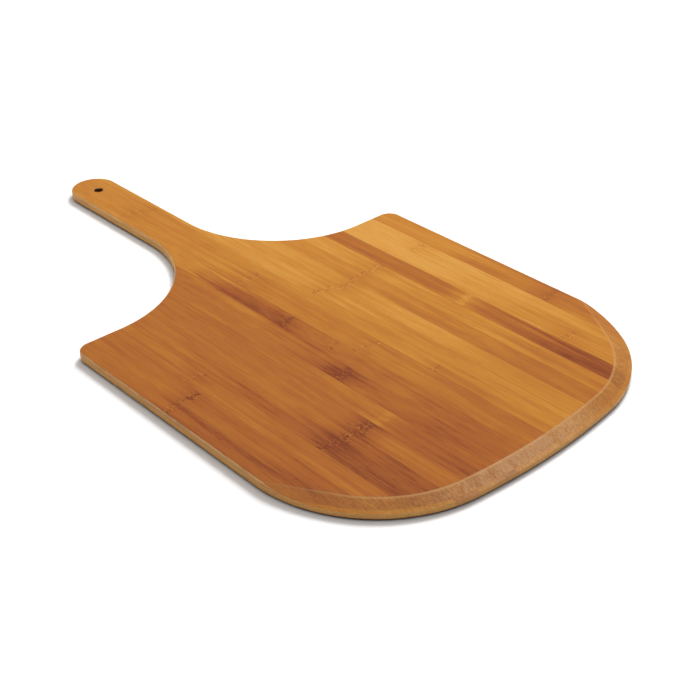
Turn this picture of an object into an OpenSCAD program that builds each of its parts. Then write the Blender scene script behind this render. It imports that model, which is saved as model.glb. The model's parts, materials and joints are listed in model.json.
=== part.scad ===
// Pizza peel: a flat bamboo board with a short handle, glued up from lengthwise strips in
// three plies. The strips lie side by side, 19 mm wide, and the seams of the plies line up.
// Frame: millimetres, +Z up. The underside lies on z = 0, the leading edge points to -Y and
// the handle to +Y. The origin is the centre of the bounding box, at the underside.

/* [Blade] */
// Width of the blade across its parallel sides
blade_w = 356; // [290:1:430]
// Length of the blade from the middle of its leading edge to the shoulders
blade_l = 347; // [280:1:420]
// Radius of the leading edge, seen from above
front_r = 586; // [400:1:1200]
// Radius of the two front corners
corner_r = 118; // [60:1:144]
// Radius of the two shoulder tips
tip_r = 12; // [4:1:24]

/* [Handle] */
// Length of the whole peel, from the leading edge to the end of the handle
overall_l = 607; // [500:1:740]
// Width of the handle, whose end is half a circle of this width
handle_w = 45; // [36:1:56]
// Radius of the hollow curve between the handle and each shoulder
neck_r = 112; // [60:1:135]
// Diameter of the hanging hole
hole_d = 9; // [5:0.5:14]
// Distance from the end of the handle to the centre of the hanging hole
hole_inset = 29; // [20:1:60]

/* [Board] */
// Thickness of the board
board_t = 9.5; // [7.5:0.1:14]
// Thickness of the top ply and of the bottom ply; the core ply fills the rest
face_ply_t = 2.8; // [2.2:0.1:3.6]

/* [Strips] */
// Width of a bamboo strip
strip_w = 19; // [18:0.5:26]
// Distance of the first seam from the centre line
seam_shift = 2; // [-5:0.5:5]
// Width of the one narrow strip that fills up the blank on the left
filler_w = 12; // [8:0.5:16]
// Number of whole strips between the first seam and the filler strip
filler_at = 6; // [4:1:7]
// Narrowest strip left along a side of the blade or of the handle
sliver_min = 5; // [3.5:0.5:7]
// Wood left between the hanging hole and the nearest seam
hole_land = 3.5; // [2:0.5:6]

/* [Leading edge] */
// Width of the bevel on the top face, in the middle of the leading edge
bevel_w = 15; // [8:0.5:30]
// Depth of that bevel at the leading edge
bevel_drop = 3.6; // [2.9:0.1:5]
// How far round each front corner the bevel goes before it runs out, in degrees
bevel_turn = 58; // [20:1:75]

/* [Edges] */
// Radius of the rounded upper edges
top_round = 1.5; // [0.5:0.1:2]
// Radius of the rounded lower edges
bottom_round = 2; // [0.5:0.1:2.1]
// Radius of the rounded rims of the hanging hole
rim_round = 0.8; // [0.3:0.1:1.5]

/* [Hidden] */
$fn = 240;
// How far a cutting tool runs past the wood that it cuts
over = 2;
// How far the curves of the outline run past each other, so that they cross and don't just touch
blend = 0.1;

half_w = blade_w / 2;
front_y = -overall_l / 2;
end_y = overall_l / 2;
shoulder_y = front_y + blade_l;
handle_r = handle_w / 2;
handle_end_c = [0, end_y - handle_r - blend];
neck_c = [handle_r + neck_r, shoulder_y + neck_r];
tip_c = [half_w - tip_r, shoulder_y - tip_r];
hole_c = [0, end_y - hole_inset];
hole_r = hole_d / 2;

// The arc of the leading edge meets the arcs of the front corners where both have the same
// centre line, which leans from -Y by front_angle
front_c = [0, front_y + front_r];
corner_x = half_w - corner_r;
corner_c = [corner_x, front_c.y - sqrt(pow(front_r - corner_r, 2) - pow(corner_x, 2))];
front_angle = asin(corner_x / (front_r - corner_r));
// The waste round a corner starts a little before that, where it is still clear of the wood
corner_start = front_angle - 2;
corner_start_x = corner_x + corner_r * sin(corner_start);

core_z = face_ply_t;
top_z = board_t - face_ply_t;
bevel_slope = bevel_drop / bevel_w;

// Seams between the strips, from -X to +X: an even row, closed up at the narrow filler
// strip, without the ones that would leave a sliver along a side of the blade
seam_count = ceil(half_w / strip_w) + 1;
function even_seam(k) = seam_shift + k * strip_w + (k < -filler_at ? strip_w - filler_w : 0);
// No seam runs through the hanging hole, or leaves a sliver along the handle
function side_of(x) = x < 0 ? -1 : 1;
function clear_of_hole(x) = abs(x) < hole_r + hole_land ? side_of(x) * (hole_r + hole_land) : x;
handle_seam = handle_r - sliver_min;
function clear_of_handle(x) = abs(abs(x) - handle_r) < sliver_min ? side_of(x) * handle_seam : x;
seams = [for (k = [-seam_count:seam_count])
    let (x = even_seam(k))
    if (abs(x) < half_w - sliver_min) clear_of_handle(clear_of_hole(x))];
bounds = concat([-half_w - over], seams, [half_w + over]);
strip_count = len(bounds) - 1;

// Colours of the bamboo, from the lightest to the darkest strips
tones = ["#d9a050", "#cc8a3c", "#bd7434", "#a0522a"];
// Tone of each strip of a ply, from -X to +X; a wider blade starts again at the first one
top_tones = [2, 1, 1, 2, 3, 1, 2, 3, 3, 1, 1, 0, 1, 2, 1, 3, 0, 0, 2];
core_tones = [2, 1, 2, 0, 0, 3, 0, 3, 1, 0, 1, 0, 1, 0, 1, 1, 0, 1, 1];
bottom_tones = [1, 2, 1, 1, 0, 2, 1, 2, 1, 1, 0, 1, 2, 1, 0, 1, 2, 1, 1];

function strip_name(ply, i) = str(ply, "_strip_", i < 10 ? "0" : "", i);

// A round of radius r, as three flats: +X points out of the wood and +Y out of the face. The
// last flat runs on past the face.
function round_points(r) = [[0, -r], r * [cos(30) - 1, sin(30) - 1], r * [cos(60) - 1, sin(60) - 1],
    -r * [1 + cos(60), sin(60) - 1]];
function lower_points() = [for (k = [3:-1:0]) let (p = round_points(bottom_round)[k]) [p.x, -p.y]];
function upper_points() = [for (p = round_points(top_round)) [p.x, board_t + p.y]];
function bevel_points(beyond) = [[beyond, board_t - bevel_drop - beyond * bevel_slope],
    [-bevel_w - over, board_t + over * bevel_slope]];

// Section of the waste beside an edge of the board, as far as reach
module edge_section(upper, reach) {
    lower = lower_points();
    inner = upper[len(upper) - 1];
    polygon(concat(lower, upper, [[inner.x, board_t + over], [reach, board_t + over],
        [reach, -over], [lower[0].x, -over]]));
}

// Section of the waste above the bevel alone
module bevel_section() {
    polygon(concat(bevel_points(over), [[-bevel_w - over, board_t + over], [over, board_t + over]]));
}

// Waste along one round stretch of an edge, from one angle to another about its centre
module arc_waste(centre, radius, from, to) {
    translate(centre)
        rotate(from)
            rotate_extrude(angle = to - from)
                translate([radius, 0])
                    children();
}

// Waste along one straight stretch of an edge, which runs clockwise from its start
module line_waste(start, facing, length) {
    translate(start)
        rotate([90, 0, facing])
            linear_extrude(length)
                children();
}

// Waste beside each stretch of the outline, on the side of +X
module waste(stretch) {
    if (stretch == "front") {
        sweep = asin((half_w + over) / (front_r - bevel_w - over));
        arc_waste(front_c, front_r, -90 - sweep, sweep - 90) edge_section(bevel_points(0), corner_r);
    }
    if (stretch == "corner")
        arc_waste(corner_c, corner_r + blend, corner_start - 90, 0) edge_section(upper_points(), corner_r);
    if (stretch == "corner_bevel")
        arc_waste(corner_c, corner_r + blend, corner_start - 90, bevel_turn - 90) bevel_section();
    // Past bevel_turn the bevel no longer follows the corner and runs out straight, over the side
    if (stretch == "bevel_end") {
        out = [sin(bevel_turn), -cos(bevel_turn)];
        along = [cos(bevel_turn), sin(bevel_turn)];
        line_waste(corner_c + corner_r * (out + along), bevel_turn - 90, 1.5 * corner_r) bevel_section();
    }
    if (stretch == "side")
        line_waste([half_w, shoulder_y + over], 0, blade_l) edge_section(upper_points(), 2 * over);
    if (stretch == "tip")
        arc_waste(tip_c, tip_r + blend, 0, 90) edge_section(upper_points(), tip_r);
    if (stretch == "shoulder")
        line_waste([neck_c.x, shoulder_y], 90, half_w - neck_c.x + 2 * over)
            edge_section(upper_points(), overall_l);
    if (stretch == "neck")
        translate(neck_c) round_cut(neck_r + blend, bottom_round, top_round);
    if (stretch == "handle_side")
        line_waste([handle_r, end_y + over], 0, end_y + over - neck_c.y)
            edge_section(upper_points(), blade_w);
    if (stretch == "handle_end")
        arc_waste(handle_end_c, handle_r + blend, 0, 180) edge_section(upper_points(), handle_r);
    if (stretch == "hole")
        translate(hole_c) round_cut(hole_r, rim_round, rim_round);
}

// The stretches that a strip meets, which lies from near to far from the centre line
function stretches(near, far) = concat(
    far > neck_c.x ? ["shoulder"] : [],
    far > tip_c.x ? ["tip"] : [],
    near < neck_c.x && far > handle_seam ? ["handle_side"] : [],
    near < tip_c.x && far > handle_seam ? ["neck"] : [],
    far > half_w ? ["side"] : [],
    near < corner_start_x ? ["front"] : [],
    far > corner_start_x ? ["corner", "corner_bevel", "bevel_end"] : [],
    near < handle_r ? ["handle_end"] : [],
    near == 0 ? ["hole"] : []);

// A round cut right through the board, with both of its rims rounded
module round_cut(radius, lower_round, upper_round) {
    lower = [for (k = [3:-1:0]) let (p = round_points(lower_round)[k]) [radius - p.x, -p.y]];
    upper = [for (p = round_points(upper_round)) [radius - p.x, board_t + p.y]];
    rotate_extrude()
        polygon(concat([[0, -over], [lower[0].x, -over]], lower, upper,
            [[upper[3].x, board_t + over], [0, board_t + over]]));
}

// The blank of a strip from x0 to x1 and from z0 to z1, after the first of its cuts
module cut_strip(x0, x1, z0, z1, cuts) {
    side = x0 + x1 > 0 ? 1 : -1;
    names = stretches(max(0, min(side * x0, side * x1)), max(side * x0, side * x1));
    left = cuts < 0 ? len(names) : cuts;
    if (left == 0)
        translate([x0, front_y - over, z0]) cube([x1 - x0, overall_l + 2 * over, z1 - z0]);
    else
        difference() {
            cut_strip(x0, x1, z0, z1, left - 1);
            mirror([side < 0 ? 1 : 0, 0, 0]) waste(names[left - 1]);
        }
}

module ply_strip(i, z0, z1, ply_tones) {
    color(tones[ply_tones[(i - 1) % len(ply_tones)]])
        cut_strip(bounds[i - 1], bounds[i], z0, z1, -1);
}

module top_strip(i) {
    ply_strip(i, top_z, board_t, top_tones);
}

module core_strip(i) {
    ply_strip(i, core_z, top_z, core_tones);
}

module bottom_strip(i) {
    ply_strip(i, 0, core_z, bottom_tones);
}

for (i = [1:strip_count]) top_strip(i);
for (i = [1:strip_count]) core_strip(i);
for (i = [1:strip_count]) bottom_strip(i);
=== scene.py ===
# Pizza peel: three plies of lengthwise bamboo strips, glued up, cut out and lacquered. The
# leading edge is bevelled. Every strip is a CAD node and keeps its shape: this script gives
# each one its own bamboo, and adds the floor, the lights and the camera.
import json
import math

import bpy
from mathutils import Matrix, Vector


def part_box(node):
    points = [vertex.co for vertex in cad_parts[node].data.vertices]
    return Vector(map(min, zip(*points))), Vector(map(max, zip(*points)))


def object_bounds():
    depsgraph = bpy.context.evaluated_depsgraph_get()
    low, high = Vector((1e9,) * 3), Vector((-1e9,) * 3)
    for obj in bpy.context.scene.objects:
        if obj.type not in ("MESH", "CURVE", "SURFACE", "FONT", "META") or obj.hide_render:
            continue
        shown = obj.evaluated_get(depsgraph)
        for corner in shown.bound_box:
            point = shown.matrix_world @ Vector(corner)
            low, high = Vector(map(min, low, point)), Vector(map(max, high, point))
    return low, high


MM = 0.001

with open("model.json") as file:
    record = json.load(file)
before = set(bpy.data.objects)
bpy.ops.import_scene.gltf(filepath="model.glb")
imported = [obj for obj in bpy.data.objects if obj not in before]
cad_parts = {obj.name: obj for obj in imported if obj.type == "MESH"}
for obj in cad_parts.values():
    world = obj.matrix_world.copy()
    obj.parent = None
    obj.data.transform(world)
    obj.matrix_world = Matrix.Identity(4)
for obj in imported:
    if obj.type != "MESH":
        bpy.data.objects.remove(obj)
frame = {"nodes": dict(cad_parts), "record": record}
cad_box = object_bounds()
low, high = Vector(cad_box[0]), Vector(cad_box[1])
strips = {name: int(name.split("_")[-1]) for name in frame["nodes"]}
strip_count = max(strips.values())
top_z = high.z
core_top_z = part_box("core_strip_01")[1].z
core_low_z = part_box("core_strip_01")[0].z
hang_hole = next(mount for mount in frame["record"]["mounts"] if mount["name"] == "hang_hole")
hole = Vector(hang_hole["pos_m"])
hole_r = hang_hole["dims"]["r_mm"] * MM


# ---- Colours ----

def linear(red, green, blue):
    """An sRGB colour, 0 to 255, as linear values."""
    def one(c):
        c = c / 255
        return c / 12.92 if c <= 0.04045 else ((c + 0.055) / 1.055) ** 2.4
    return (one(red), one(green), one(blue), 1.0)


# Lacquered bamboo from the darkest to the palest
SHADES = {
    "umber": (116, 52, 22),
    "russet": (146, 78, 31),
    "brown": (156, 87, 33),
    "amber": (164, 97, 35),
    "golden": (173, 108, 37),
    "honey": (182, 119, 40),
    "straw": (189, 129, 50),
    "pale": (199, 143, 64),
}
LEVEL = {name: level for level, name in enumerate(SHADES)}

# Bamboo where the lacquer is sanded off or cut through, the dark hole wall, the glue, and the painted
# highlights and painted shade on the edges
MARKS = {
    "bevel_pale": linear(194, 154, 114),
    "bevel_pale_grain": linear(162, 119, 79),
    "bevel_tan": linear(178, 122, 62),
    "bevel_tan_grain": linear(146, 92, 44),
    # painted highlight along the bevel's upper edge
    "bevel_painted_highlight": linear(212, 166, 112),
    "cut_side": linear(226, 176, 104),
    "cut_fibre": linear(130, 84, 44),
    "end_grain": linear(128, 80, 40),
    "hole_wall": linear(70, 32, 14),
    # painted highlight on the slanted roundings
    "edge_painted_highlight": linear(222, 180, 124),
    # painted shade on the lower rounding
    "lower_rounding_painted_shade": linear(52, 28, 12),
    "glue": linear(92, 46, 22),
}

# The top ply from -X to +X: each strip's shade at the leading edge, mid blade, at the shoulders and
# on the handle, and how mottled it is
TOP = [
    ("brown", "brown", "amber", "amber", 0.8),
    ("brown", "amber", "amber", "amber", 0.6),
    ("amber", "amber", "amber", "amber", 0.6),
    ("russet", "brown", "amber", "amber", 0.8),
    ("russet", "amber", "amber", "amber", 0.8),
    ("amber", "amber", "amber", "amber", 0.5),
    ("brown", "amber", "amber", "amber", 0.7),
    ("brown", "brown", "amber", "amber", 1.5),
    ("brown", "amber", "brown", "honey", 1.6),
    ("amber", "golden", "golden", "honey", 0.8),
    ("golden", "honey", "honey", "honey", 0.7),
    ("honey", "honey", "straw", "straw", 0.6),
    ("honey", "straw", "straw", "straw", 0.6),
    ("amber", "golden", "honey", "honey", 0.8),
    ("golden", "honey", "straw", "straw", 0.7),
    ("russet", "amber", "amber", "amber", 0.5),
    ("honey", "straw", "pale", "pale", 0.5),
    ("honey", "straw", "pale", "pale", 0.5),
    ("golden", "golden", "honey", "honey", 0.7),
]

# Where a strip's shade goes over into its next one, from the leading edge
TO_MIDDLE = (80 * MM, 150 * MM)
TO_SHOULDERS = (190 * MM, 265 * MM)
TO_HANDLE = (320 * MM, 400 * MM)

# The other plies have one shade for each strip
CORE = ["golden", "honey", "straw", "straw", "straw", "brown", "honey", "brown", "straw", "straw",
        "honey", "straw", "straw", "honey", "straw", "honey", "straw", "honey", "golden"]
BOTTOM = ["golden", "amber", "honey", "golden", "honey", "amber", "honey", "russet", "golden", "honey",
          "straw", "golden", "amber", "honey", "straw", "golden", "amber", "honey", "golden"]
PLIES = {
    "top": TOP,
    "core": [(tone, tone, tone, tone, 0.8) for tone in CORE],
    "bottom": [(tone, tone, tone, tone, 0.8) for tone in BOTTOM],
}

# Culm joints that cross a strip of the top ply: strip, distance from the leading edge, strength
# from -1 for a pale one to +1 for a dark one
JOINTS = [
    (1, 226, 0.35), (2, 228, 0.45), (3, 247, 0.35), (5, 110, 0.55), (4, 112, 0.4), (6, 109, 1.0),
    (7, 107, -0.6), (8, 172, 0.8), (9, 207, 0.3), (9, 262, 0.4), (10, 188, 0.25), (11, 128, 0.4),
    (12, 278, 0.45), (13, 271, 0.45), (14, 276, 0.35), (15, 275, 0.5), (16, 184, -0.9), (17, 86, 0.35),
    (18, 276, 0.35), (19, 138, 0.6), (10, 338, 0.2), (11, 505, 0.3), (10, 512, 0.25),
]


# ---- Shader nodes ----

class Graph:
    """A material's node tree, with one short method for each kind of node used here."""

    def __init__(self, name):
        self.material = bpy.data.materials.new(name)
        self.material.use_nodes = True
        self.tree = self.material.node_tree
        self.tree.nodes.clear()

    def node(self, kind, **inputs):
        made = self.tree.nodes.new(kind)
        for key, value in inputs.items():
            self.put(made.inputs[key.replace("_", " ")], value)
        return made

    def put(self, socket, value):
        if isinstance(value, bpy.types.NodeSocket):
            self.tree.links.new(value, socket)
        else:
            socket.default_value = value

    def math(self, operation, *values, clamp=False):
        made = self.tree.nodes.new("ShaderNodeMath")
        made.operation = operation
        made.use_clamp = clamp
        for socket, value in zip(made.inputs, values):
            self.put(socket, value)
        return made.outputs[0]

    def plus(self, first, second):
        return self.math("ADD", first, second)

    def minus(self, first, second):
        return self.math("SUBTRACT", first, second)

    def times(self, first, second):
        return self.math("MULTIPLY", first, second)

    def absolute(self, value):
        return self.math("ABSOLUTE", value)

    def swing(self, pattern, amount):
        """A pattern from 0 to 1, as a swing of amount around nothing."""
        return self.times(self.minus(pattern, 0.5), amount)

    def ramp(self, value, start, end, to_low=0.0, to_high=1.0):
        """A smooth step from to_low at start to to_high at end."""
        made = self.tree.nodes.new("ShaderNodeMapRange")
        made.interpolation_type = "SMOOTHSTEP"
        for socket, number in zip(made.inputs, (value, start, end, to_low, to_high)):
            self.put(socket, number)
        return made.outputs[0]

    def mix(self, factor, first, second):
        made = self.tree.nodes.new("ShaderNodeMix")
        made.data_type = "RGBA"
        factor_in, first_in, second_in = made.inputs[0], made.inputs[6], made.inputs[7]
        self.put(factor_in, factor)
        self.put(first_in, first)
        self.put(second_in, second)
        return made.outputs[2]

    def shade(self, level):
        """The colour at a level of SHADES, blended between neighbours."""
        made = self.tree.nodes.new("ShaderNodeValToRGB")
        last = len(SHADES) - 1
        stops = made.color_ramp.elements
        while len(stops) < len(SHADES):
            stops.new(0.5)
        for number, colour in enumerate(SHADES.values()):
            stops[number].position = number / last
            stops[number].color = linear(*colour)
        self.put(made.inputs[0], self.math("DIVIDE", level, last))
        return made.outputs[0]

    def stretched(self, position, x, y, z, shift):
        """The position, counted in a pattern's sizes along each axis. The sizes are in mm."""
        made = self.tree.nodes.new("ShaderNodeMapping")
        self.put(made.inputs["Vector"], position)
        self.put(made.inputs["Location"], shift)
        self.put(made.inputs["Scale"], (1 / (x * MM), 1 / (y * MM), 1 / (z * MM)))
        return made.outputs[0]

    def noise(self, position, detail=2.0, roughness=0.5, distortion=0.0):
        made = self.node("ShaderNodeTexNoise", Vector=position, Scale=1.0, Detail=detail,
                         Roughness=roughness, Distortion=distortion)
        return made.outputs[0]

    def output(self, shader):
        made = self.tree.nodes.new("ShaderNodeOutputMaterial")
        self.tree.links.new(shader.outputs[0], made.inputs[0])
        return self.material


class Bamboo(Graph):
    """Lacquered bamboo for one strip, with its grain along Y. box is the strip's own."""

    def __init__(self, name, ply, seed, box):
        super().__init__(name)
        self.ply = ply
        self.box = box
        self.shift = (seed * 7.31, seed * 3.17, seed * 5.77)
        self.place = self.tree.nodes.new("ShaderNodeTexCoord").outputs["Object"]
        self.x, self.y, self.z = self.node("ShaderNodeSeparateXYZ", Vector=self.place).outputs
        normal = self.tree.nodes.new("ShaderNodeNewGeometry").outputs["True Normal"]
        self.nx, self.ny, self.nz = self.node("ShaderNodeSeparateXYZ", Vector=normal).outputs

        # Each strip's grain leans and wanders a little
        sway = self.pattern(40, 160, 40, detail=1.0)
        leaning = self.plus(self.x, self.swing(sway, 3 * MM))
        self.grain = self.node("ShaderNodeCombineXYZ", X=leaning, Y=self.y, Z=self.z).outputs[0]
        self.fibres = self.streaks(0.95, 70, detail=3.0, roughness=0.6)
        self.threads = self.streaks(0.45, 30, detail=2.0, roughness=0.7)
        self.bands = self.streaks(5, 230, detail=2.0)
        self.clouds = self.streaks(16, 60, detail=3.0, roughness=0.55)
        self.flecks = self.streaks(0.9, 9, detail=2.0, roughness=0.6)

    def pattern(self, x, y, z, **noise):
        """Noise of this size in mm, fixed to the strip."""
        return self.noise(self.stretched(self.place, x, y, z, self.shift), **noise)

    def streaks(self, width, length, **noise):
        """Noise of this size in mm that follows the grain."""
        return self.noise(self.stretched(self.grain, width, length, width, self.shift), **noise)

    def figure(self, tones):
        """The level of the shade: from front to handle, then by clouds, bands and single fibres."""
        *shades, mottled = tones
        front, middle, rear, grip = (LEVEL[shade] for shade in shades)
        along = self.plus(self.minus(self.y, low.y), self.swing(self.bands, 160 * MM))
        level = self.ramp(along, *TO_MIDDLE, front, middle)
        level = self.plus(level, self.ramp(along, *TO_SHOULDERS, 0.0, rear - middle))
        level = self.plus(level, self.ramp(along, *TO_HANDLE, 0.0, grip - rear))
        swings = ((self.clouds, 3.8 * mottled), (self.bands, 3.2),
                  (self.fibres, 5.0), (self.threads, 4.2))
        for pattern, amount in swings:
            level = self.plus(level, self.swing(pattern, amount))
        level = self.minus(level, self.ramp(self.fibres, 0.54, 0.64, 0.0, 1.5))
        return self.minus(level, self.ramp(self.flecks, 0.58, 0.72, 0.0, 0.9))

    def culm_joints(self, level, height, joints):
        """Ragged bands across the strip, where the fibres break up and curl. joints are (y, strength)."""
        if not joints:
            return level, height
        ragged = self.pattern(1.8, 2.6, 3, detail=3.0, roughness=0.65, distortion=1.4)
        waver = self.swing(self.pattern(5, 400, 9), 12 * MM)
        for y, strength in joints:
            away = self.absolute(self.minus(self.plus(self.y, waver), y))
            band = self.ramp(away, 7.0 * MM, 0.5 * MM)
            curls = self.times(band, self.ramp(ragged, 0.46, 0.58))
            gaps = self.times(band, self.ramp(ragged, 0.48, 0.38))
            stain = self.ramp(away, 30 * MM, 2 * MM, 0.0, 1.8 * strength)
            level = self.minus(level, stain)
            level = self.minus(level, self.times(curls, 0.6 + 3.4 * strength))
            level = self.plus(level, self.times(gaps, 2.2))
            height = self.plus(height, self.times(curls, 0.8))
        return level, height

    def bevel(self, colour):
        """The bevel is sanded through the lacquer: it is paler, duller and finer in its grain, with a
        painted highlight along its upper edge.
        """
        if self.ply == "bottom":
            return colour, 0.0
        below = self.ramp(self.z, top_z - 0.02 * MM, top_z - 0.25 * MM)
        bevel = self.times(below, self.ramp(self.nz, 0.93, 0.96))
        fine = self.pattern(0.8, 20, 0.8, detail=3.0, roughness=0.6)
        patches = self.pattern(11, 26, 40, detail=2.0)
        pale = self.mix(self.ramp(fine, 0.32, 0.68), MARKS["bevel_pale"], MARKS["bevel_pale_grain"])
        tan = self.mix(self.ramp(fine, 0.36, 0.62), MARKS["bevel_tan"], MARKS["bevel_tan_grain"])
        centre = self.absolute(self.plus(self.x, 22 * MM))
        paleness = self.times(self.ramp(centre, 105 * MM, 30 * MM),
                              self.ramp(patches, 0.28, 0.5, 0.45, 1.0))
        raw = self.mix(paleness, tan, pale)
        raw = self.mix(0.20 if self.ply == "top" else 0.40, raw, colour)
        # Painted highlight along the bevel's upper edge
        rim_highlight = self.ramp(self.z, top_z - 0.75 * MM, top_z - 0.3 * MM, 0.0, 0.35)
        raw = self.mix(rim_highlight, raw, MARKS["bevel_painted_highlight"])
        fade = self.ramp(self.absolute(self.x), 170 * MM, 130 * MM, 0.3, 0.92)
        return self.mix(self.times(bevel, fade), colour, raw), bevel

    def cut_edges(self, colour):
        """The raw ends and sides of the strips, with a clearer view of the fibres."""
        upright = self.ramp(self.absolute(self.nz), 0.55, 0.2)
        end = self.times(upright, self.ramp(self.absolute(self.ny), 0.35, 0.8))
        dots = self.pattern(0.7, 25, 0.7, detail=2.0, roughness=0.6)
        cut = self.mix(0.4, MARKS["cut_side"], colour)
        cut = self.mix(self.ramp(dots, 0.52, 0.68, 0.0, 0.6), cut, MARKS["cut_fibre"])
        colour = self.mix(self.times(upright, 0.8), colour, cut)
        return self.mix(self.times(end, 0.15), colour, MARKS["end_grain"]), upright

    def hole_wall(self, colour):
        """Inside the hanging hole the wall is made dark."""
        flat = self.node("ShaderNodeCombineXYZ", X=self.x, Y=self.y).outputs[0]
        from_hole = self.node("ShaderNodeVectorMath", Vector=flat)
        from_hole.operation = "DISTANCE"
        self.put(from_hole.inputs[1], (hole.x, hole.y, 0.0))
        darkened = self.ramp(from_hole.outputs["Value"], hole_r + 0.6 * MM, hole_r + 0.2 * MM, 0.0, 0.85)
        return self.mix(darkened, colour, MARKS["hole_wall"])

    def painted_edge_light_and_shade(self, colour):
        """The slanted upper roundings get a painted highlight in patches, and the bottom ply's lower
        rounding gets painted shade.
        """
        highlight_patches = self.pattern(3, 14, 3, detail=3.0)
        # Painted highlight: the slanted roundings are made paler, in patches
        slanted = self.times(self.ramp(self.nz, 0.15, 0.3), self.ramp(self.nz, 0.93, 0.85))
        painted_highlight = self.times(slanted, self.ramp(highlight_patches, 0.38, 0.62, 0.35, 0.75))
        colour = self.mix(painted_highlight, colour, MARKS["edge_painted_highlight"])
        if self.ply != "bottom":
            return colour
        # Painted shade: the bottom ply's downward-facing rounding is made dark
        painted_shade_under = self.times(self.ramp(self.nz, -0.05, -0.25), self.ramp(self.nz, -0.995, -0.97))
        return self.mix(self.times(painted_shade_under, 0.9), colour, MARKS["lower_rounding_painted_shade"])

    def glue_lines(self, colour, bevel, upright):
        """Glue along the two seams, and between the plies on the cut edges."""
        inside = self.math("MINIMUM", self.minus(self.x, self.box[0].x), self.minus(self.box[1].x, self.x))
        from_seam = self.math("MINIMUM", self.absolute(self.minus(self.z, core_top_z)),
                              self.absolute(self.minus(self.z, core_low_z)))
        side = self.ramp(self.absolute(self.nx), 0.9, 0.6)
        glue = self.times(self.ramp(inside, 0.40 * MM, 0.12 * MM), side)
        glue = self.math("MAXIMUM", glue, self.times(self.ramp(from_seam, 0.22 * MM, 0.08 * MM), upright))
        glue = self.times(glue, self.ramp(self.pattern(9, 30, 9, detail=2.0), 0.35, 0.65, 0.05, 0.45))
        glue = self.times(glue, self.minus(1.0, self.times(bevel, 0.8)))
        return self.mix(glue, colour, MARKS["glue"]), glue

    def finished(self, tones, joints):
        height = self.plus(self.times(self.fibres, 0.6), self.times(self.threads, 0.4))
        level, height = self.culm_joints(self.figure(tones), height, joints)
        colour, bevel = self.bevel(self.shade(level))
        colour, upright = self.cut_edges(colour)
        colour = self.painted_edge_light_and_shade(self.hole_wall(colour))
        colour, glue = self.glue_lines(colour, bevel, upright)
        dull = self.times(self.math("MAXIMUM", bevel, upright), 0.14)
        sheen = self.math("ADD", self.ramp(self.fibres, 0.3, 0.75, 0.40, 0.52), dull, clamp=True)
        relief = self.minus(height, glue)
        bump = self.node("ShaderNodeBump", Strength=0.22, Distance=0.12 * MM, Height=relief)
        shader = self.node("ShaderNodeBsdfPrincipled", Base_Color=colour, Roughness=sheen,
                           Normal=bump.outputs[0])
        shader.inputs["Specular IOR Level"].default_value = 0.30
        return self.output(shader)


def finish_strips():
    for name, number in sorted(strips.items()):
        ply = name.split("_")[0]
        tones = PLIES[ply]
        joints = [(low.y + y * MM, k) for strip, y, k in JOINTS if strip == number and ply == "top"]
        seed = number + strip_count * list(PLIES).index(ply)
        bamboo = Bamboo(name, ply, seed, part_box(name))
        obj = frame["nodes"][name]
        obj.data.materials.clear()
        obj.data.materials.append(bamboo.finished(tones[(number - 1) % len(tones)], joints))


# ---- Floor, lights and camera ----

# How far from the middle the paper begins to light itself, and where it is fully lit, in metres
PAPER_GLOW = (0.9, 2.4)
# How far a direction rises (0 is level, 1 is straight up) where the world starts and ends its fade,
# then its strength at both
WORLD_FADE = (0.06, 0.24, 1.0, 0.18)


def floor():
    bpy.ops.mesh.primitive_plane_add(size=12, location=(0, 0, low.z))
    plane = bpy.context.object
    plane.name = "floor"
    g = Graph("floor_paper")
    place = g.tree.nodes.new("ShaderNodeTexCoord").outputs["Object"]
    tooth = g.noise(g.stretched(place, 3, 3, 3, (0, 0, 0)), detail=2.0)
    paper = g.mix(tooth, (0.95, 0.95, 0.95, 1.0), (0.98, 0.98, 0.98, 1.0))
    shader = g.node("ShaderNodeBsdfPrincipled", Base_Color=paper, Roughness=0.9)
    # Far from the peel, where the lamps don't reach, the paper is lit by itself and stays white
    away = g.node("ShaderNodeVectorMath", Vector=place)
    away.operation = "LENGTH"
    g.put(shader.inputs["Emission Color"], (1.0, 1.0, 1.0, 1.0))
    g.put(shader.inputs["Emission Strength"], g.ramp(away.outputs["Value"], *PAPER_GLOW))
    plane.data.materials.append(g.output(shader))


def aimed(location, target):
    """A rotation that looks from location to target, with the view's top upwards."""
    return (Vector(target) - Vector(location)).to_track_quat("-Z", "Y").to_matrix().to_4x4()


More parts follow.
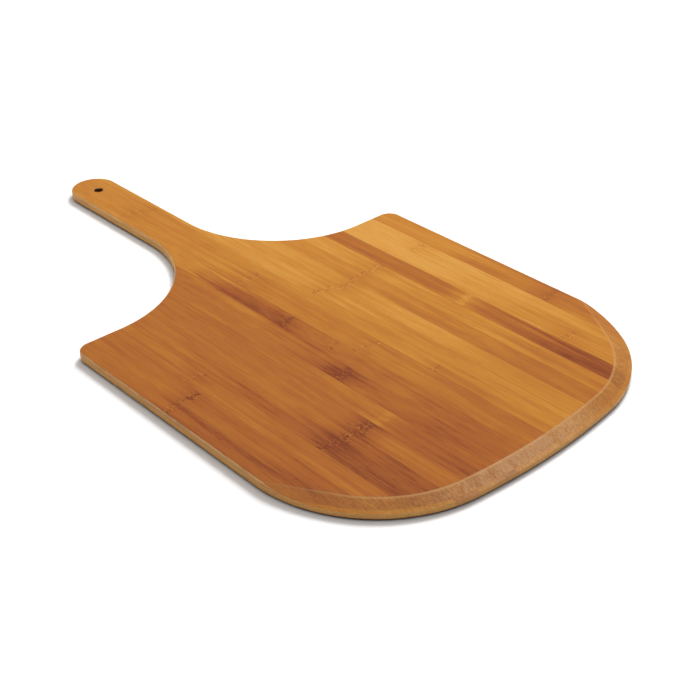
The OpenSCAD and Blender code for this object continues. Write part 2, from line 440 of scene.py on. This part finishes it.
def soft_box(name, location, size, power, mirrored):
    data = bpy.data.lights.new(name, "AREA")
    data.shape = "RECTANGLE"
    data.size, data.size_y = size
    data.energy = power
    lamp = bpy.data.objects.new(name, data)
    bpy.context.scene.collection.objects.link(lamp)
    lamp.matrix_world = Matrix.Translation(location) @ aimed(location, (0, 0, 0))
    lamp.visible_glossy = mirrored


def lights():
    world = bpy.data.worlds.new("studio")
    bpy.context.scene.world = world
    world.use_nodes = True
    # The walls are white as far up as the horizon needs, and dim above that
    tree = world.node_tree
    direction = tree.nodes.new("ShaderNodeTexCoord").outputs["Generated"]
    height = tree.nodes.new("ShaderNodeSeparateXYZ")
    fade = tree.nodes.new("ShaderNodeMapRange")
    for socket, number in zip(list(fade.inputs)[1:], WORLD_FADE):
        socket.default_value = number
    tree.links.new(direction, height.inputs[0])
    tree.links.new(height.outputs["Z"], fade.inputs[0])
    background = tree.nodes["Background"]
    background.inputs["Color"].default_value = (1.0, 1.0, 1.0, 1.0)
    tree.links.new(fade.outputs[0], background.inputs["Strength"])
    soft_box("key", (1.9, 0.75, 2.2), (1.3, 1.3), power=101, mirrored=False)
    soft_box("overhead", (0, 0.1, 2.2), (3.2, 3.2), power=26, mirrored=True)


def camera():
    azimuth, elevation, roll = math.radians(-43.04), math.radians(32.88), math.radians(0.21)
    distance = 1.0254
    # The view is centred a little to the left of the blade's middle
    target = Vector((-18.8 * MM, low.y + 192.9 * MM, top_z))
    back = Vector((math.sin(azimuth) * math.cos(elevation), -math.cos(azimuth) * math.cos(elevation),
                   math.sin(elevation)))
    data = bpy.data.cameras.new("camera")
    data.lens = 65.97
    data.sensor_width = 36
    data.clip_start = 0.01
    eye = bpy.data.objects.new("camera", data)
    bpy.context.scene.collection.objects.link(eye)
    place = target + distance * back
    eye.matrix_world = Matrix.Translation(place) @ aimed(place, target) @ Matrix.Rotation(-roll, 4, "Z")
    bpy.context.scene.camera = eye
    # The wood keeps its own colours: no film curve
    bpy.context.scene.view_settings.view_transform = "Standard"


camera()
finish_strips()
floor()
lights()
